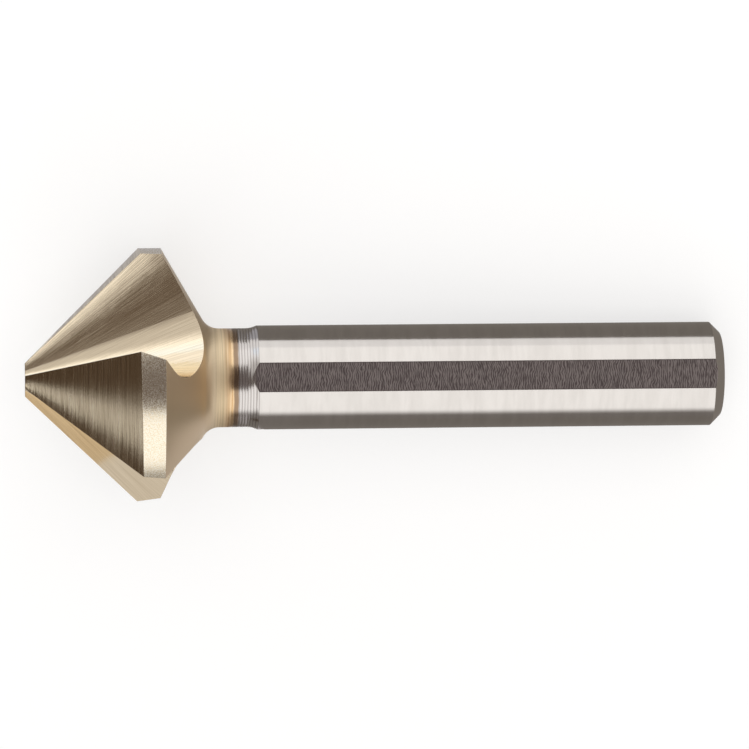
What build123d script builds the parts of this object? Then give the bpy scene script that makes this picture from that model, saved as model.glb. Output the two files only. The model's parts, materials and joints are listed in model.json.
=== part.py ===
from build123d import *
import os
from math import cos, radians, sin, tan

# Right-hand three-flute 90 degree countersink bit, ground from one bar of high-speed steel.
#
# The bit is modelled in its own frame first: the tip plane is at z = 0, +Z points out of the tip, and the
# shank runs back along -Z. "back" is always a distance behind the tip plane. Seen looking at the point, the
# cutting edge of the first tooth lies along +X, and angles grow the way the bit turns when it cuts.
# resting() then lays the finished bit down as it comes to rest on a flat floor.

# Driving dimensions, in millimetres and degrees.
overall_length = 67.0
head_diameter = 25.0
point_angle = 90.0          # included angle of the cutting cone
tip_diameter = 3.5          # flat left at the tip
margin_width = 2.3          # cylindrical land behind the cutting cone
back_angle = 60.0           # back of the head, measured from the axis
neck_diameter = 9.5
neck_fillet = 1.8           # where the back of the head runs into the neck
shank_diameter = 10.0
shank_start = 22.2          # where the full shank diameter begins
shank_step_length = 1.05    # concave rise from the neck to the shank
end_chamfer = 1.0
end_edge_radius = 0.25

# Three ground flats on the shank, for a three-jaw chuck.
flat_depth = 0.2
flat_behind_edge = 11.6     # angle from each cutting edge back to its flat

# Relief: each tooth's flank is a cone ground about its own axis, set off from the bit's axis, so that the
# flank drops away behind the cutting edge.
tooth_count = 3
relief_offset = 0.33
relief_lead = 20.0          # angle of the offset, ahead of the cutting edge

# Flute: a flat rake face, a round root and a slightly hollow back wall. Its section grows in a straight
# line from the tip plane to flute_back, and each pair below is the value at those two places.
flute_back = 17.0
rake_angle = 18.4           # undercut of the rake face from the radial line
rake_share = 0.308          # flat part of the rake face, as a share of the cutting edge's radius
root_radii = (0.8, 6.2)
root_sweep = 124.7          # angle through which the root turns from the rake face to the back wall
wall_lengths = (1.17, 15.7)
wall_sweep = 13.4           # angle through which the hollow back wall turns
flute_overrun = 0.5         # how far the grinding space runs on past the head at each end
mouth_share = 1.25          # reach of the grinding space, as a share of the cutting edge's radius

# Worked out from the dimensions above.
head_radius = head_diameter / 2
tip_radius = tip_diameter / 2
neck_radius = neck_diameter / 2
shank_radius = shank_diameter / 2
cone_slope = tan(radians(point_angle / 2))
cone_length = (head_radius - tip_radius) / cone_slope
margin_back = cone_length + margin_width
neck_back = margin_back + (head_radius - neck_radius) / tan(radians(back_angle))
chamfer_back = overall_length - end_chamfer
tooth_pitch = 360 / tooth_count
sector_lead = tooth_pitch / 4   # a relief cut starts this far ahead of its cutting edge, inside the flute

RELIEF_REACH = 1.0          # how far the relief cutters run past the head
SETTLE_STEPS = 8            # passes that bring the shank's lowest rim point onto the floor plane
RIM_TOLERANCE = 0.01


def between(values, back):
    """The value of a flute dimension at a distance behind the tip plane."""
    at_tip, at_back = values
    return at_tip + (at_back - at_tip) * back / flute_back


def turned_blank():
    """Head, back cone, neck, concave step and chamfered shank, as turned before grinding."""
    step_start = (neck_radius, shank_step_length - shank_start)
    front = Polyline(
        (0, 0),
        (head_radius, 0),
        (head_radius, -margin_back),
        (neck_radius, -neck_back),
        step_start,
    )
    step = TangentArc(step_start, (shank_radius, -shank_start), tangent=(0, -1))
    rear = Polyline(
        (shank_radius, -shank_start),
        (shank_radius, -chamfer_back),
        (shank_radius - end_chamfer, -overall_length),
        (0, -overall_length),
        (0, 0),
    )
    profile = make_face(front.edges() + step.edges() + rear.edges())
    neck_corner = profile.vertices().sort_by_distance((neck_radius, -neck_back))[0]
    profile = fillet(neck_corner, neck_fillet)
    end_corner = profile.vertices().sort_by_distance((shank_radius - end_chamfer, -overall_length))[0]
    profile = fillet(end_corner, end_edge_radius)
    return revolve(Plane.XZ * profile, Axis.Z)


def relief_cutter():
    """What is ground off around the first tooth to leave its relieved cutting cone."""
    height = cone_length + RELIEF_REACH
    centre = Pos(relief_offset * cos(radians(relief_lead)), relief_offset * sin(radians(relief_lead)), 0)
    radius_at_tip = tip_radius - relief_offset * cos(radians(relief_lead))
    to_back = (Align.CENTER, Align.CENTER, Align.MAX)
    flank = centre * Cone(radius_at_tip + height * cone_slope, radius_at_tip, height, align=to_back)
    sector = Cylinder(head_radius + RELIEF_REACH, height, arc_size=tooth_pitch, align=None)
    return Rot(0, 0, sector_lead - tooth_pitch) * Pos(0, 0, -height) * sector - flank


def flute_section(back):
    """Cross-section of the first tooth's flute: rake face, root, back wall and open mouth."""
    edge_radius = tip_radius + back * cone_slope
    outward = Vector(cos(radians(rake_angle)), sin(radians(rake_angle)))
    mouth = Vector(edge_radius, 0) + outward * edge_radius * (mouth_share - 1)
    rake = Line(mouth, Vector(edge_radius, 0) - outward * edge_radius * rake_share)
    root = JernArc(rake @ 1, rake % 1, between(root_radii, back), -root_sweep)
    wall_radius = between(wall_lengths, back) / radians(wall_sweep)
    wall = JernArc(root @ 1, root % 1, wall_radius, -wall_sweep)
    opening = Line(wall @ 1, mouth)
    section = make_face(rake.edges() + root.edges() + wall.edges() + opening.edges())
    return Pos(0, 0, -back) * section


def flute_cutter():
    """The space that the grinding wheel sweeps, from before the tip to past the back of the head."""
    ends = [flute_section(-flute_overrun), flute_section(flute_back + flute_overrun)]
    return loft(ends, ruled=True)


def flat_cutter():
    """What is ground off the shank for the first flat; it runs out on the step at the neck."""
    length = overall_length - shank_start + shank_step_length
    block = Box(shank_radius, shank_diameter, length, align=(Align.MIN, Align.CENTER, Align.MIN))
    return Rot(0, 0, -flat_behind_edge) * Pos(shank_radius - flat_depth, 0, -overall_length) * block


def round_the_bit(cutter):
    """One copy of a cutter for every tooth."""
    return [Rot(0, 0, index * tooth_pitch) * cutter for index in range(tooth_count)]


def countersink_bit():
    """The whole bit in its own frame, as one solid."""
    ground = round_the_bit(relief_cutter()) + round_the_bit(flute_cutter()) + round_the_bit(flat_cutter())
    return turned_blank() - ground


def rim_corners(bit, back):
    """Vertices of the margin's rim at a distance behind the tip plane."""
    on_rim = []
    for vertex in bit.vertices():
        point = Vector(vertex.X, vertex.Y, 0)
        if abs(vertex.Z + back) < RIM_TOLERANCE and abs(point.length - head_radius) < RIM_TOLERANCE:
            on_rim.append(Vector(vertex))
    return on_rim


def resting(bit):
    """Lay the bit on the floor plane z = 0, with one flute downwards and the shank towards +X.

    It stands on three points: the front corner of a cutting edge, the rear corner of the heel across the
    flute from it, and the lowest point of the shank's end rim. The origin is under the middle of its box.
    """
    edge_corner = Vector(head_radius, 0, -cone_length)
    across_flute = edge_corner.rotate(Axis.Z, tooth_pitch / 2)
    heel_corner = min(rim_corners(bit, margin_back), key=lambda corner: (corner - across_flute).length)
    down = Vector(edge_corner.X + heel_corner.X, edge_corner.Y + heel_corner.Y, 0)
    for _ in range(SETTLE_STEPS):
        sideways = Vector(down.X, down.Y, 0).normalized()
        shank_point = Vector(0, 0, -chamfer_back) + sideways * shank_radius
        down = (shank_point - edge_corner).cross(heel_corner - edge_corner).normalized()
        if down.dot(edge_corner) < 0:
            down = -down
    to_shank = Vector(0, 0, -1)
    floor_x = to_shank - down * to_shank.dot(down)
    floor = Plane(origin=edge_corner, x_dir=floor_x, z_dir=-down)
    lying = floor.to_local_coords(bit)
    box = lying.bounding_box()
    return Pos(-box.center().X, -box.center().Y, 0) * lying


os.makedirs("parts", exist_ok=True)
export_step(resting(countersink_bit()), "parts/countersink_bit.step")
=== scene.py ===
# %% [markdown]
# # A three-flute countersink bit
# A countersink bit cuts the cone-shaped seat that a screw head sinks into. This one is a single piece of
# high-speed steel: a head with three ground flutes and a pale coating, a thin neck, and a bare ground
# shank. The shape is already made in CAD, so this lesson is about the camera, the light and one careful
# metal. The first step loads that fixed model.

# %% Load the bit
import json
import math

import bpy
from mathutils import Euler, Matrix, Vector

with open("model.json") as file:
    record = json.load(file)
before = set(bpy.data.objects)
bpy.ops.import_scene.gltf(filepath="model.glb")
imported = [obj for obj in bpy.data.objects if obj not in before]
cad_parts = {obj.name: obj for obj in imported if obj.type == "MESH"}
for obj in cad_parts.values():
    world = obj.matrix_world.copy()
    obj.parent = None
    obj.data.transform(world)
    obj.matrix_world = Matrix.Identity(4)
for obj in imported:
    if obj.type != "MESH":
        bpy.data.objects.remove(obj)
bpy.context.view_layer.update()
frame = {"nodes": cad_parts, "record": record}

scene = bpy.context.scene
bit = frame["nodes"]["countersink_bit"]
print("bit:", len(bit.data.polygons), "faces, node", bit.name)

# %% [markdown]
# ## The bit's own axes
# The bit lies at rest, so its axis drops a little towards the shank end. Everything on it was turned or
# ground about that axis, so most of the finish is easiest to describe as "so far behind the tip" and "so
# far round". The model's record names the shank as a mount, and that gives the axis. The tip is 44.1 mm
# in front of the middle of the shank, and the top flat leans about 20 degrees from straight up.

# %% The bit's own axes
MM = 0.001
MM_IN_METRE = 1000
TIP_BEFORE_SHANK = 44.1
FLAT_LEAN = math.radians(19.877)
shank = next(m for m in frame["record"]["mounts"] if m["name"] == "shank")
towards_shank = Vector(shank["axis"]).normalized()
tip = Vector(shank["pos_m"]) - towards_shank * TIP_BEFORE_SHANK * MM
sideways = Vector((0, 1, 0))
uppermost = sideways.cross(-towards_shank).normalized()
out_of_flat = uppermost * math.cos(FLAT_LEAN) + sideways * math.sin(FLAT_LEAN)
across_flat = sideways * math.cos(FLAT_LEAN) - uppermost * math.sin(FLAT_LEAN)
print("tip at", [round(v / MM, 2) for v in tip], "mm; top flat faces", [round(v, 3) for v in out_of_flat])

# %% [markdown]
# ## The camera
# Small shiny tools are shot with a long lens from well back, so that the parallel sides of the shank stay
# nearly parallel. This camera stands half a metre above the bit, leans back over it, and looks almost
# squarely at the top flat. The Standard view transform leaves every colour as it was mixed.

# %% The camera
camera = bpy.data.objects.new("camera", bpy.data.cameras.new("camera"))
scene.collection.objects.link(camera)
camera.location = (0.0100082, 0.1650214, 0.4664840)
camera.rotation_euler = Euler([math.radians(a) for a in (-19.75993, 1.64980, 1.08446)])
camera.data.sensor_width = 36.0
camera.data.lens = 243.2026
camera.data.clip_start = 0.01
camera.data.clip_end = 20.0
scene.camera = camera
scene.view_settings.view_transform = "Standard"
print("camera", round((camera.location - tip).length, 3), "m from the tip")

# %% [markdown]
# ## Writing shaders as sums
# A shader is a network of nodes, and maths done by clicking them together is hard to read. One small
# class wraps the socket that a value comes out of, and its operators add the Math nodes, so a mask can be
# written as 1 - edge * 2. Every other node comes from one method, which sets the node's settings before
# its sockets, because some sockets only appear once a setting has been chosen.
#
# The method used most is rise. It turns a distance or an angle into a mask with a soft edge, and masks
# multiply like the words "and also".

# %% A wire that can be used in sums
class Wire:
    """The output of a shader node. Sums with wires and numbers add Math nodes."""

    def __init__(self, tree, socket):
        self.tree = tree
        self.socket = socket

    @classmethod
    def node(cls, tree, kind, settings=None, sockets=None, output=0):
        """Add a node, apply its settings, then set or link its sockets, and give one of its outputs."""
        made = tree.nodes.new("ShaderNode" + kind)
        for name, value in (settings or {}).items():
            setattr(made, name, value)
        for name, value in (sockets or {}).items():
            if isinstance(value, Wire):
                tree.links.new(value.socket, made.inputs[name])
            else:
                made.inputs[name].default_value = value
        return cls(tree, made.outputs[output])

    def math(self, operation, first, second=0.0):
        return Wire.node(self.tree, "Math", {"operation": operation}, {0: first, 1: second})

    def __add__(self, other):
        return self.math("ADD", self, other)

    def __radd__(self, other):
        return self.math("ADD", other, self)

    def __sub__(self, other):
        return self.math("SUBTRACT", self, other)

    def __rsub__(self, other):
        return self.math("SUBTRACT", other, self)

    def __mul__(self, other):
        return self.math("MULTIPLY", self, other)

    def __rmul__(self, other):
        return self.math("MULTIPLY", other, self)

    def __truediv__(self, other):
        return self.math("DIVIDE", self, other)

    def __abs__(self):
        return self.math("ABSOLUTE", self)

    def __mod__(self, other):
        return self.math("FLOORED_MODULO", self, other)

    def at_least(self, other):
        return self.math("MAXIMUM", self, other)

    def at_most(self, other):
        return self.math("MINIMUM", self, other)

    def root(self):
        return self.math("SQRT", self)

    def wave(self, pitch):
        """A sine wave that repeats every pitch. With 360 it is the sine of an angle in degrees."""
        return self.math("SINE", self * (2 * math.pi / pitch))

    def rise(self, low, high):
        """0 below low, 1 above high, and a smooth slope between them. It falls where low is above high."""
        sockets = {"Value": self, "From Min": low, "From Max": high}
        return Wire.node(self.tree, "MapRange", {"interpolation_type": "SMOOTHSTEP"}, sockets)

    def band(self, low, high, soft):
        """1 between low and high, and 0 outside them, with edges that are soft wide."""
        return self.rise(low - soft / 2, low + soft / 2) * self.rise(high + soft / 2, high - soft / 2)

    def blend(self, start, end):
        """The colour start where this wire is 0, and end where it is 1."""
        sockets = {0: self, 6: start, 7: end}
        return Wire.node(self.tree, "Mix", {"data_type": "RGBA"}, sockets, output=2)

    def along(self, direction, origin=(0, 0, 0)):
        """How far a vector wire reaches from origin along direction."""
        shifted = Wire.node(self.tree, "VectorMath", {"operation": "SUBTRACT"}, {0: self, 1: tuple(origin)})
        sockets = {0: shifted, 1: tuple(direction)}
        return Wire.node(self.tree, "VectorMath", {"operation": "DOT_PRODUCT"}, sockets, output=1)

    def into(self, node, name):
        """Link this wire to a named input of a node."""
        self.tree.links.new(self.socket, node.inputs[name])


print("a wire knows:", ", ".join(name for name in vars(Wire) if not name.startswith("_")))

# %% [markdown]
# ## Two helpers for wires
# Two more things are needed again and again: three wires packed into one vector, and the angle of a
# direction in degrees, which is friendlier to write down than radians.

# %% Vectors and angles
DEGREES = 180 / math.pi


def vector(x, y, z):
    """Three wires or numbers as one vector wire."""
    tree = next(part.tree for part in (x, y, z) if isinstance(part, Wire))
    return Wire.node(tree, "CombineXYZ", {}, {0: x, 1: y, 2: z})


def heading(aside, ahead):
    """The angle in degrees of a direction, from how far it goes aside and ahead."""
    return aside.math("ARCTAN2", aside, ahead) * DEGREES


print("one radian is", round(DEGREES, 2), "degrees")

# %% [markdown]
# ## The floor
# The floor is a plain white sheet. It is lit like everything else and keeps the bit's soft shadow. A
# white sheet under plain light renders as a very light grey, so for rays that come from the camera, or
# from a reflection in the metal, some light of its own is added to bring it up to paper white.

# %% The floor
FLOOR_REACH = 3.0
SHEET_GREY = 0.42
LIFT_SEEN = 0.58
LIFT_IN_METAL = 0.66
mesh = bpy.data.meshes.new("floor")
sheet_corners = [(x * FLOOR_REACH, y * FLOOR_REACH, 0) for x, y in ((-1, -1), (1, -1), (1, 1), (-1, 1))]
mesh.from_pydata(sheet_corners, [], [(0, 1, 2, 3)])
floor = bpy.data.objects.new("floor", mesh)
scene.collection.objects.link(floor)
white = bpy.data.materials.new("white_sheet")
white.use_nodes = True
sheet = white.node_tree.nodes["Principled BSDF"]
sheet.inputs["Base Color"].default_value = (SHEET_GREY, SHEET_GREY, SHEET_GREY, 1)
sheet.inputs["Roughness"].default_value = 0.9
sheet.inputs["Specular IOR Level"].default_value = 0.0
sheet.inputs["Emission Strength"].default_value = 1.0
seen_directly = Wire.node(white.node_tree, "LightPath", output="Is Camera Ray")
seen_in_metal = Wire.node(white.node_tree, "LightPath", output="Is Glossy Ray")
seen_through = Wire.node(white.node_tree, "LightPath", output="Is Transmission Ray")
lift = (seen_directly + seen_through) * LIFT_SEEN + seen_in_metal * LIFT_IN_METAL
vector(lift, lift, lift).into(sheet, "Emission Color")
floor.data.materials.append(white)
print("floor", 2 * FLOOR_REACH, "m wide")

# %% [markdown]
# ## The studio: where each ray points
# Polished metal has hardly any look of its own: it shows the room. So the room is designed with as much
# care as the metal, and it is drawn straight in the world's shader, with no objects to place. For the
# world, the Generated coordinate is the direction of the ray. Two angles place every ray: how far round
# the bit's axis it points, with 0 straight out of the top flat, and how far it tilts towards the shank.
# The edge of a long softbox beside the bit is then a plain number of degrees.

# %% Where each ray points
world = bpy.data.worlds.new("studio")
world.use_nodes = True
scene.world = world
room = world.node_tree
ray = Wire.node(room, "TexCoord", output="Generated")
ray_end = ray.along(towards_shank)
ray_round = heading(ray.along(across_flat), ray.along(out_of_flat))
ray_tilt = ray_end.math("ARCSINE", ray_end) * DEGREES
print("the room is drawn about the direction", [round(v, 3) for v in towards_shank])

# %% [markdown]
# ## The studio: the dark gap
# Two long softboxes run beside the bit, one on each side, and the camera looks in through the gap between
# them. The gap is what gives the dark stripe along the top of the shank and the dark sweep across the
# flute. Its low edge leans a little with the tilt. Its high edge comes in as the tilt goes towards the
# tip, until it stops, and both edges get softer there.

# %% The dark gap
LOW_EDGE, LOW_LEAN = -27.2, -0.33
HIGH_EDGE, HIGH_LEAN, HIGH_STOP = 28, 1.35, -5.5
LEANS_FROM = 4
GAP_BEGINS = (-34, -29)
GAP_ENDS = (26, 16)
near_tip = ray_tilt.rise(-5, -12)
gap_low = ray_tilt * LOW_LEAN + LOW_EDGE
gap_high = (ray_tilt - LEANS_FROM).at_most(0.0) * HIGH_LEAN + HIGH_EDGE
gap_high = gap_high.at_least(HIGH_STOP)
low_soft = 3 + 1.5 * near_tip
high_soft = 5 + 6.5 * near_tip
in_gap = ray_round.rise(gap_low - low_soft, gap_low + low_soft)
in_gap = in_gap * ray_round.rise(gap_high + high_soft, gap_high - high_soft)
in_gap = in_gap * ray_tilt.rise(*GAP_BEGINS) * ray_tilt.rise(*GAP_ENDS)
print("gap from", LOW_EDGE, "to", HIGH_EDGE, "degrees round at its middle")

# %% [markdown]
# ## The studio: the softboxes
# The boxes give the white stripes beside the dark one. They start at the gap and reach round to the
# sides. Towards the tip the high box draws back from the gap and leaves plain ceiling there, and a cooler
# patch in it takes the yellow out of the end of the flute. Past the sides of the bit the room is dark
# again, except low down towards the end of the shank, and this ends the white stripes with a clean line.

# %% The softboxes
BOXES_BEGIN = (-49, -35)
BOXES_END = (24, 13)
near_middle = ray_tilt.rise(-15, 0)
high_box = near_middle * ray_round.rise(gap_high - 3, gap_high + 5)
high_box = high_box + (1 - near_middle) * ray_round.rise(26, 60)
low_box = ray_round.rise(gap_low + 3, gap_low - 3)
boxes = (high_box + low_box) * ray_tilt.rise(*BOXES_BEGIN) * ray_tilt.rise(*BOXES_END)
cool_patch = ray_round.band(58, 90, 20) * ray_tilt.band(-38, -14, 12)
above_low_side = ray_round.rise(-98, -79).at_least(ray_tilt.rise(13, 20))
between_sides = above_low_side * ray_round.rise(93, 87)
print("boxes and dark sides placed with", len(room.nodes), "nodes so far")

# %% [markdown]
# ## The studio: the tones of the room
# A tone of 1 is paper white. The boxes are a third over it, the ceiling is about two thirds, and the gap
# and the sides are nearly dark and slightly warm. The room is darkest beyond the tip, which keeps the
# cutting cone deep brown, and one small box before the tip lights the middle of that cone. The tones are
# laid over each other in order, like sheets of paper.

# %% The tones of the room
CEILING = (0.67, 0.645, 0.62, 1)
BEYOND_SHANK = (0.36, 0.31, 0.28, 1)
SOFTBOX = (1.33, 1.32, 1.30, 1)
COOL_PATCH = (1.16, 1.28, 1.42, 1)
GAP = (0.172, 0.143, 0.133, 1)
GAP_NEAR_TIP = (0.125, 0.094, 0.072, 1)
SIDE = (0.225, 0.205, 0.19, 1)
BEYOND_TIP = (0.07, 0.045, 0.027, 1)
TIP_BOX = (0.70, 0.67, 0.62, 1)
to_tip_box = towards_shank * -0.891 - out_of_flat * 0.206 - across_flat * 0.405
tip_box = ray.along(to_tip_box).rise(0.945, 0.99)
past_shank = ray_tilt.rise(38, 56)
past_tip = ray_tilt.rise(-38, -52)
tone = past_shank.blend(CEILING, BEYOND_SHANK)
tone = boxes.blend(tone, SOFTBOX)
tone = cool_patch.blend(tone, COOL_PATCH)
tone = in_gap.blend(tone, ray_tilt.rise(-8, -14).blend(GAP, GAP_NEAR_TIP))
tone = between_sides.blend(SIDE, tone)
tone = past_tip.blend(tone, BEYOND_TIP)
tone = tip_box.blend(tone, TIP_BOX)
tone.into(room.nodes["Background"], "Color")
print("room drawn, from tone", BEYOND_TIP[0], "to", SOFTBOX[0])

# %% [markdown]
# ## A soft lamp
# The softboxes alone leave a dull floor. One wide lamp overhead brings the whole scene up to the level at
# which a colour renders as it was mixed. It is hidden from reflections, so it adds no stripe to the
# metal. A lamp shines along its own minus Z, so its Z axis is turned to point from the bit to the lamp.

# %% The lamp
lamp = bpy.data.objects.new("overhead_lamp", bpy.data.lights.new("overhead_lamp", "AREA"))
scene.collection.objects.link(lamp)
lamp.data.shape = "SQUARE"
lamp.data.size = 1.2
lamp.data.energy = 8.0
lamp.location = (0.1, 0.5, 1.1)
lamp.rotation_euler = Vector((0, 0, 1)).rotation_difference(lamp.location).to_euler()
lamp.visible_glossy = False
print("lamp", lamp.data.energy, "W,", round(lamp.location.length, 2), "m away")

# %% [markdown]
# ## A card
# A round bar laid on white paper would have no edges, because its sides mirror the paper. Photographers
# lay strips of dark card beside such a bar, and its sides then end in a clean dark line. A card here is
# one flat face that gives off its own tone. It is seen only in reflections, so it casts no shadow and
# doesn't show on the floor.

# %% A card
def card(name, corners, tone):
    """A flat card of one tone, with its corners in mm, that only shows in reflections."""
    mesh = bpy.data.meshes.new(name)
    points = [tuple(c * MM for c in corner) for corner in corners]
    mesh.from_pydata(points, [], [tuple(range(len(points)))])
    made = bpy.data.objects.new(name, mesh)
    scene.collection.objects.link(made)
    made.visible_camera = False
    made.visible_diffuse = False
    made.visible_transmission = False
    made.visible_shadow = False
    made.visible_volume_scatter = False
    finish = bpy.data.materials.new(name)
    finish.use_nodes = True
    paint = finish.node_tree.nodes["Principled BSDF"]
    paint.inputs["Base Color"].default_value = (0, 0, 0, 1)
    paint.inputs["Specular IOR Level"].default_value = 0.0
    paint.inputs["Emission Color"].default_value = tone
    paint.inputs["Emission Strength"].default_value = 1.0
    mesh.materials.append(finish)
    return made


def lying(outline, height):
    """The corners of a card that lies at a height over the floor."""
    return [(x, y, height) for x, y in outline]


print("a card shows only in reflections")

# %% [markdown]
# ## The cards round the bit
# Three dark cards lie round the bit: beside the shank, below the head and beyond the tip, where the card
# is as dark as the room. A paler card lies on top beside the head. The last one stands upright behind the
# head and lifts the cone at its back out of the dark. Their outlines are in millimetres on the floor.

# %% The cards round the bit
FAR = 3000
ON_FLOOR = 0.02
ON_TOP = 0.04
STANDS_AT = -11.2
DARK = (0.22, 0.20, 0.18, 1)
PALE = (0.46, 0.455, 0.48, 1)
UPRIGHT = (0.53, 0.50, 0.50, 1)
beside_shank = [(-11, -FAR), (FAR, -FAR), (FAR, 0), (34, 24), (-14.3, 38), (-14.3, 2), (-11, 2)]
below_head = [(-37, -FAR), (-11, -FAR), (-11, -12), (-37, -14)]
beyond_tip = [(-FAR, -FAR), (-37, -FAR), (-37, 20), (-FAR, 1300)]
beside_head = [(-60, 2), (-14.3, 2), (-14.3, 26), (-60, 32)]
behind_head = [(STANDS_AT, y, z) for y, z in ((-5.3, 0.1), (-30, 0.1), (-30, 16), (-5.3, 16))]
cards = [
    card("card_beside_shank", lying(beside_shank, ON_FLOOR), DARK),
    card("card_below_head", lying(below_head, ON_FLOOR), DARK),
    card("card_beyond_tip", lying(beyond_tip, ON_FLOOR), BEYOND_TIP),
    card("card_beside_head", lying(beside_head, ON_TOP), PALE),
    card("white_card_behind_head", behind_head, UPRIGHT),
]
print(len(cards), "cards laid")

# %% [markdown]
# ## Places on the bit
# The bit is one solid with one finish to its mesh, so the shader itself has to know where it is. It works
# out, in millimetres and degrees, how far a point is behind the tip, how far from the axis, and how far
# round. The same three directions tell it which way the surface faces.

# %% Places on the bit
steel = bpy.data.materials.new("ground_and_coated_steel")
steel.use_nodes = True
tree = steel.node_tree
surface = tree.nodes["Principled BSDF"]
place = Wire.node(tree, "TexCoord", output="Object")
behind = place.along(towards_shank, tip) * MM_IN_METRE
out = place.along(out_of_flat, tip) * MM_IN_METRE
across = place.along(across_flat, tip) * MM_IN_METRE
radius = (out * out + across * across).root()
turn = heading(across, out)
facing = Wire.node(tree, "NewGeometry", output="Normal")
faces_end = facing.along(towards_shank)
faces_out = facing.along(out_of_flat)
faces_across = facing.along(across_flat)
faces_away = (faces_out * out + faces_across * across) / radius
faces_round = (faces_across * out - faces_out * across) / radius
print("finish mapped from", [round(v / MM, 1) for v in tip], "mm")

# %% [markdown]
# ## Which face is which
# A turned face never looks sideways round the axis, and a ground flute nearly always does. That one test
# sorts most of the bit. The back of the head looks towards the shank, the cutting cone looks 45 degrees
# forwards, the margin looks straight out, and what is left of the head is flute. The three flats look the
# same way in each third of a turn, so they are found by folding the angle into one third.

# %% Which face is which
FLANK_END = 11.3
BACK_START = 13.0
HEAD_END = 17.5
FLATS_START = 21.0
MARGIN_RADIUS = 12.25
THIRD = 120


def folded(angle):
    """An angle in degrees, as its distance either way from the nearest flat's middle."""
    return (angle + THIRD / 2) % THIRD - THIRD / 2


turned = abs(faces_round).rise(0.14, 0.08)
is_back = turned * faces_end.rise(0.01, 0.04) * behind.rise(BACK_START - 0.1, BACK_START + 0.1)
is_back = is_back * behind.rise(HEAD_END + 0.7, HEAD_END - 0.1)
is_flank = turned * faces_end.band(-0.80, -0.62, 0.04) * behind.rise(FLANK_END + 0.1, FLANK_END - 0.1)
is_margin = turned * faces_away.rise(0.98, 0.99) * radius.rise(MARGIN_RADIUS - 0.05, MARGIN_RADIUS + 0.05)
is_head = behind.rise(HEAD_END + 0.1, HEAD_END - 0.1)
is_flute = is_head * (1 - is_back) * (1 - is_flank) * (1 - is_margin) * faces_end.rise(-0.98, -0.95)
is_tip_flat = is_head * faces_end.rise(-0.95, -0.98)
off_flat = abs(folded(heading(faces_across, faces_out)))
is_flat = off_flat.rise(6, 3) * behind.rise(FLATS_START, FLATS_START + 0.1) * abs(faces_end).rise(0.1, 0.05)
print("faces sorted with", len(tree.nodes), "nodes so far")

# %% [markdown]
# ## Grinding lines in the flutes
# Every face was made by a wheel or a turning tool, and each left its own marks. Noise stretched a long
# way in one direction gives such marks, so each kind is one noise, stretched in the directions of its own
# face. In the flutes the lines fan out from a point beyond the tip and a little aside of the axis, because
# the grinding wheel was tilted. The angle about that point crosses the lines and the distance from it
# runs along them. Each tooth starts at its cutting edge, 11.6 degrees round from a flat.

# %% Grinding lines in the flutes
EDGE_TURN = 11.6
FAN_ASIDE, FAN_BEFORE = 3.7, 5.7


def noise(spot, scale=1.0, detail=2.0, roughness=0.5):
    """Soft noise round 0.5, with about scale lumps to each unit of spot."""
    sockets = {"Vector": spot, "Scale": scale, "Detail": detail, "Roughness": roughness}
    return Wire.node(tree, "TexNoise", {}, sockets)


past_edge = (turn - EDGE_TURN) % THIRD
fan_aside = radius * (past_edge + EDGE_TURN).wave(360) + FAN_ASIDE
fan_along = behind + FAN_BEFORE
fan = heading(fan_aside, fan_along)
fan_reach = (fan_aside * fan_aside + fan_along * fan_along).root()
flute_fine = noise(vector(fan * 5.0, fan_reach * 0.12, 0.0), roughness=0.6)
flute_broad = noise(vector(fan * 1.4, fan_reach * 0.07, 5.0), detail=1.0)
flute_lines = flute_fine.rise(0.3, 0.7)
print("flute lines fan from", FAN_BEFORE, "mm before the tip")

# %% [markdown]
# ## Rings round the cone and the neck, and the grain between
# The cutting cone, the neck and the shank turned under their tools, so their marks are rings: tight along
# the axis and very long round it. The narrow margin has no clear direction, only a fine speckle from the
# coating, and the shank is ground smooth and only a little mottled.

# %% Rings and grain
flank_fine = noise(vector(behind * 5.0, turn * 0.018, 0.0), detail=3.0, roughness=0.65)
flank_broad = noise(vector(behind * 1.5, turn * 0.03, 4.0))
flank_lines = flank_fine.rise(0.33, 0.67)
ring = noise(vector(behind * 6.0, turn * 0.006, 7.0), roughness=0.6)
ring_lines = ring.rise(0.35, 0.65)
speckle = noise(vector(behind, out, across), scale=8.0)
grains = speckle.rise(0.35, 0.65)
mottle = noise(vector(behind * 2.0, turn * 0.03, 9.0), scale=0.5, detail=3.0, roughness=0.6)
print("marks drawn with", len(tree.nodes), "nodes so far")

# %% [markdown]
# ## Cross marks on the flats
# The flats were ground across, and the wheel chattered: they carry short upright strokes, 0.22 mm apart
# and never quite in line. A wave along the axis gives the strokes, a slow noise lets them drift, and a
# finer one breaks them up. The dark tint of the strokes, which leaves each flat darker than the bar, is
# painted shade.
# Each flat runs out on the step at the neck, where its front corners slant back, and a dark rim is painted
# along its edges and front as painted shade.

# %% Cross marks on the flats
STROKE_PITCH = 0.22
FLAT_FRONT = 21.9
SLANT_FROM = 0.9
SLANT = 0.7
FLAT_EDGE = (1.42, 1.25)
stroke_drift = noise(vector(behind * 0.9, across * 1.2, out * 1.2), detail=1.0) - 0.5
stroke_wave = (behind + stroke_drift * 0.7).wave(STROKE_PITCH)
cross_cut = noise(vector(behind * 8.0, across * 1.6, out * 1.6), roughness=0.6) + stroke_wave * 0.14
chatter = cross_cut.rise(0.34, 0.68)
beside_flat = abs(radius * folded(turn).wave(360))
flat_front = (beside_flat - SLANT_FROM).at_least(0.0) * SLANT + FLAT_FRONT
is_flat = is_flat * behind.rise(flat_front - 0.05, flat_front + 0.05)
# This mask marks the flat's edges and front, which are painted dark as painted shade.
flat_rim_shade = is_flat * (1 - beside_flat.rise(*FLAT_EDGE) * behind.rise(flat_front, flat_front + 0.2))
print("strokes every", STROKE_PITCH, "mm")
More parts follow.
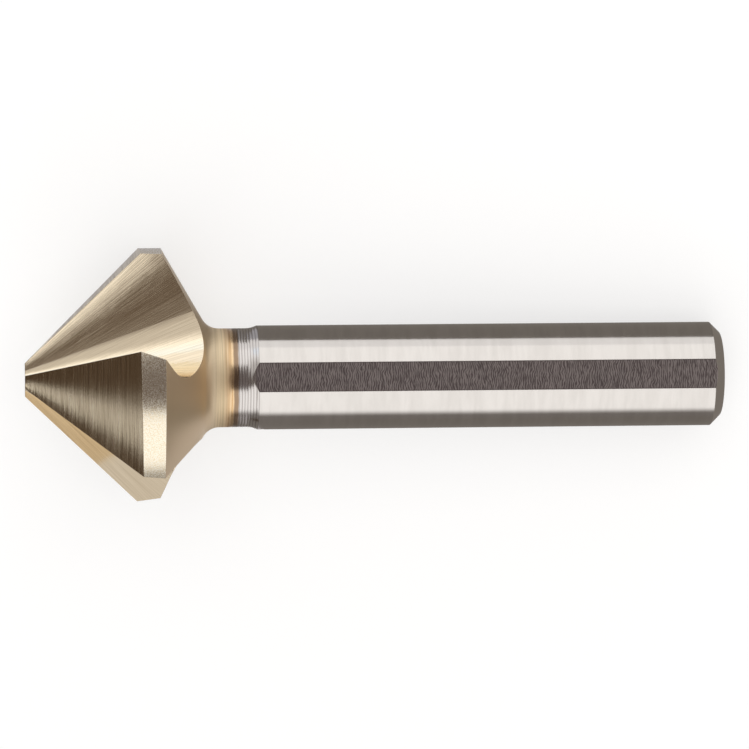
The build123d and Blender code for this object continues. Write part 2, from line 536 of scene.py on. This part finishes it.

# %% [markdown]
# ## Turned grooves
# The step between neck and shank was left as the lathe made it. Its grooves are 0.27 mm apart, one for
# each turn of the work, and they waver a little. Their bottoms are also painted darker, which is painted
# shade.

# %% Turned grooves
GROOVE_PITCH = 0.27
groove_wave = (behind + (ring - 0.5) * 0.08).wave(GROOVE_PITCH)
has_grooves = behind.band(20.1, 22.25, 0.1) * (1 - is_flat)
groove_shade = has_grooves * groove_wave.rise(0.2, 0.9)
print("grooves every", GROOVE_PITCH, "mm")

# %% [markdown]
# ## Tints for each face
# A polished metal shows the room, and its own colour is the tint that it gives to the room. The coating
# is a pale champagne. Its marks tint each face too, since their bottoms hold less light than their tops,
# so most faces blend from a tint in the marks to a tint between them.

# %% Tints for each face
COATED_BACK = (0.86, 0.70, 0.48, 1)
BROWN_LINE = (0.30, 0.21, 0.14, 1)
BARE_STEP = (0.60, 0.57, 0.55, 1)
# Painted shade for the bottoms of the turned grooves.
PAINTED_GROOVE_SHADE = (0.38, 0.35, 0.34, 1)
# Painted light: the tint for the end chamfer and end face, lighter than the ground bar they are cut from.
END_PAINTED_LIGHTER = (0.76, 0.72, 0.68, 1)
# Painted shade for the rim along each flat's edges and front.
FLAT_RIM_SHADE = (0.25, 0.22, 0.22, 1)
coated_flute = flute_lines.blend((0.78, 0.66, 0.49, 1), (0.92, 0.80, 0.61, 1))
coated_flank = flank_lines.blend((0.68, 0.59, 0.45, 1), (0.95, 0.85, 0.68, 1))
coated_margin = grains.blend((0.73, 0.63, 0.47, 1), (0.86, 0.80, 0.68, 1))
straw = ring_lines.blend((0.70, 0.57, 0.38, 1), (0.88, 0.74, 0.53, 1))
gold = ring_lines.blend((0.58, 0.38, 0.20, 1), (0.80, 0.60, 0.38, 1))
ground_bar = mottle.rise(0.3, 0.7).blend((0.585, 0.555, 0.53, 1), (0.635, 0.605, 0.58, 1))
# The flats' strokes are real chatter marks; their dark tint, darker than the bar steel, is painted shade.
flat_strokes_and_shade = chatter.blend((0.25, 0.22, 0.225, 1), (0.62, 0.57, 0.57, 1))
print("tints mixed with", len(tree.nodes), "nodes so far")

# %% [markdown]
# ## Colour from the tip to the end of the shank
# Every line below lays one more finish over those before it. The coating ends on the neck, where its edge
# ran hot: first straw, then gold, then a thin brown line, and then bare steel. In the list, each has the
# distance behind the tip where it begins and the one where it is full. A little noise makes them wander.

# %% Colour from the tip to the end of the shank
BAR_START = 22.2
CHAMFER_START = 66.0
edge_wobble = (noise(vector(behind * 0.2, out * 0.6, across * 0.6)) - 0.5) * 0.25
fade = behind + edge_wobble
hot_edge = [(17.6, 18.4, straw), (18.7, 19.4, gold), (19.7, 19.9, BROWN_LINE), (20.15, 20.4, BARE_STEP)]
colour = is_flank.blend(coated_flute, coated_flank)
colour = is_margin.blend(colour, coated_margin)
colour = is_back.blend(colour, COATED_BACK)
for begins, full, tint in hot_edge:
    colour = fade.rise(begins, full).blend(colour, tint)
# Painted shade: the bottoms of the turned grooves are painted darker than the bare steel.
colour = groove_shade.blend(colour, PAINTED_GROOVE_SHADE)
colour = behind.rise(BAR_START, BAR_START + 0.1).blend(colour, ground_bar)
# Painted light: the end chamfer and end face are painted lighter than the ground bar.
colour = behind.rise(CHAMFER_START - 0.05, CHAMFER_START + 0.05).blend(colour, END_PAINTED_LIGHTER)
# Painted shade: the flats' dark stroke tint, and a dark rim along their edges and front.
colour = is_flat.blend(colour, flat_strokes_and_shade)
colour = flat_rim_shade.blend(colour, FLAT_RIM_SHADE)
colour.into(surface, "Base Color")
surface.inputs["Metallic"].default_value = 1.0
print("coating gone", hot_edge[-1][1], "mm behind the tip")

# %% [markdown]
# ## Gloss
# Roughness is what tells one ground face from another. The flutes are nearly polished, the flanks are a
# little duller, the coated neck and the back of the head are almost matt, and the shank has the even
# satin of a ground bar. Each mask fades out where the next one fades in, so their shares can simply be
# added.

# %% Gloss
off_the_flats = 1 - is_flat
is_neck = behind.rise(HEAD_END - 0.1, HEAD_END + 0.7) * behind.rise(BAR_START + 0.1, BAR_START - 0.1)
is_neck = is_neck * off_the_flats
is_bar = behind.rise(BAR_START - 0.1, BAR_START + 0.1) * off_the_flats
rough = is_flute * (0.09 + 0.05 * flute_lines)
rough = rough + is_flank * (0.25 + 0.15 * (flank_fine - 0.5))
rough = rough + is_margin * (0.2 + 0.08 * grains)
rough = rough + is_back * 0.4
rough = rough + is_neck * (0.6 - 0.4 * fade.rise(18.9, 19.8))
rough = rough + is_bar * (0.13 + 0.04 * (mottle - 0.5))
rough = rough + is_flat * 0.30
rough = rough + is_tip_flat * 0.35
rough.into(surface, "Roughness")
print("roughness from 0.09 in the flutes to 0.6 on the neck")

# %% [markdown]
# ## Relief
# The same marks also bend the reflections. One bump takes them all, and a height of 1 stands for a
# hundredth of a millimetre, so the marks keep their true depth however large the bit is in the picture.
# The Bevel node rounds the light on every sharp edge by a twentieth of a millimetre. No real edge is
# perfectly sharp, and that thin bright line is what makes an edge look like steel.

# %% Relief
MARK_HEIGHT = 0.01 * MM
EDGE_WEAR = 0.05 * MM
height = is_flute * (flute_fine * 0.42 + flute_broad * 0.35)
height = height + is_flank * (flank_fine * 2.0 + flank_broad * 0.5)
height = height + is_margin * speckle * 0.5
height = height + is_back * ring * 0.3
height = height + is_neck * ring * 0.8
height = height + behind.rise(BAR_START, BAR_START + 0.2) * off_the_flats * ring * 0.12
height = height - has_grooves * groove_wave * 0.3
height = height + is_flat * cross_cut
worn_edge = Wire.node(tree, "Bevel", {"samples": 6}, {"Radius": EDGE_WEAR})
bump_sockets = {"Strength": 1.0, "Distance": MARK_HEIGHT, "Height": height, "Normal": worn_edge}
Wire.node(tree, "Bump", {}, bump_sockets).into(surface, "Normal")
bit.material_slots[0].material = steel
print("finish laid on", bit.name, "with", len(tree.nodes), "nodes")

# %% [markdown]
# ## Finish
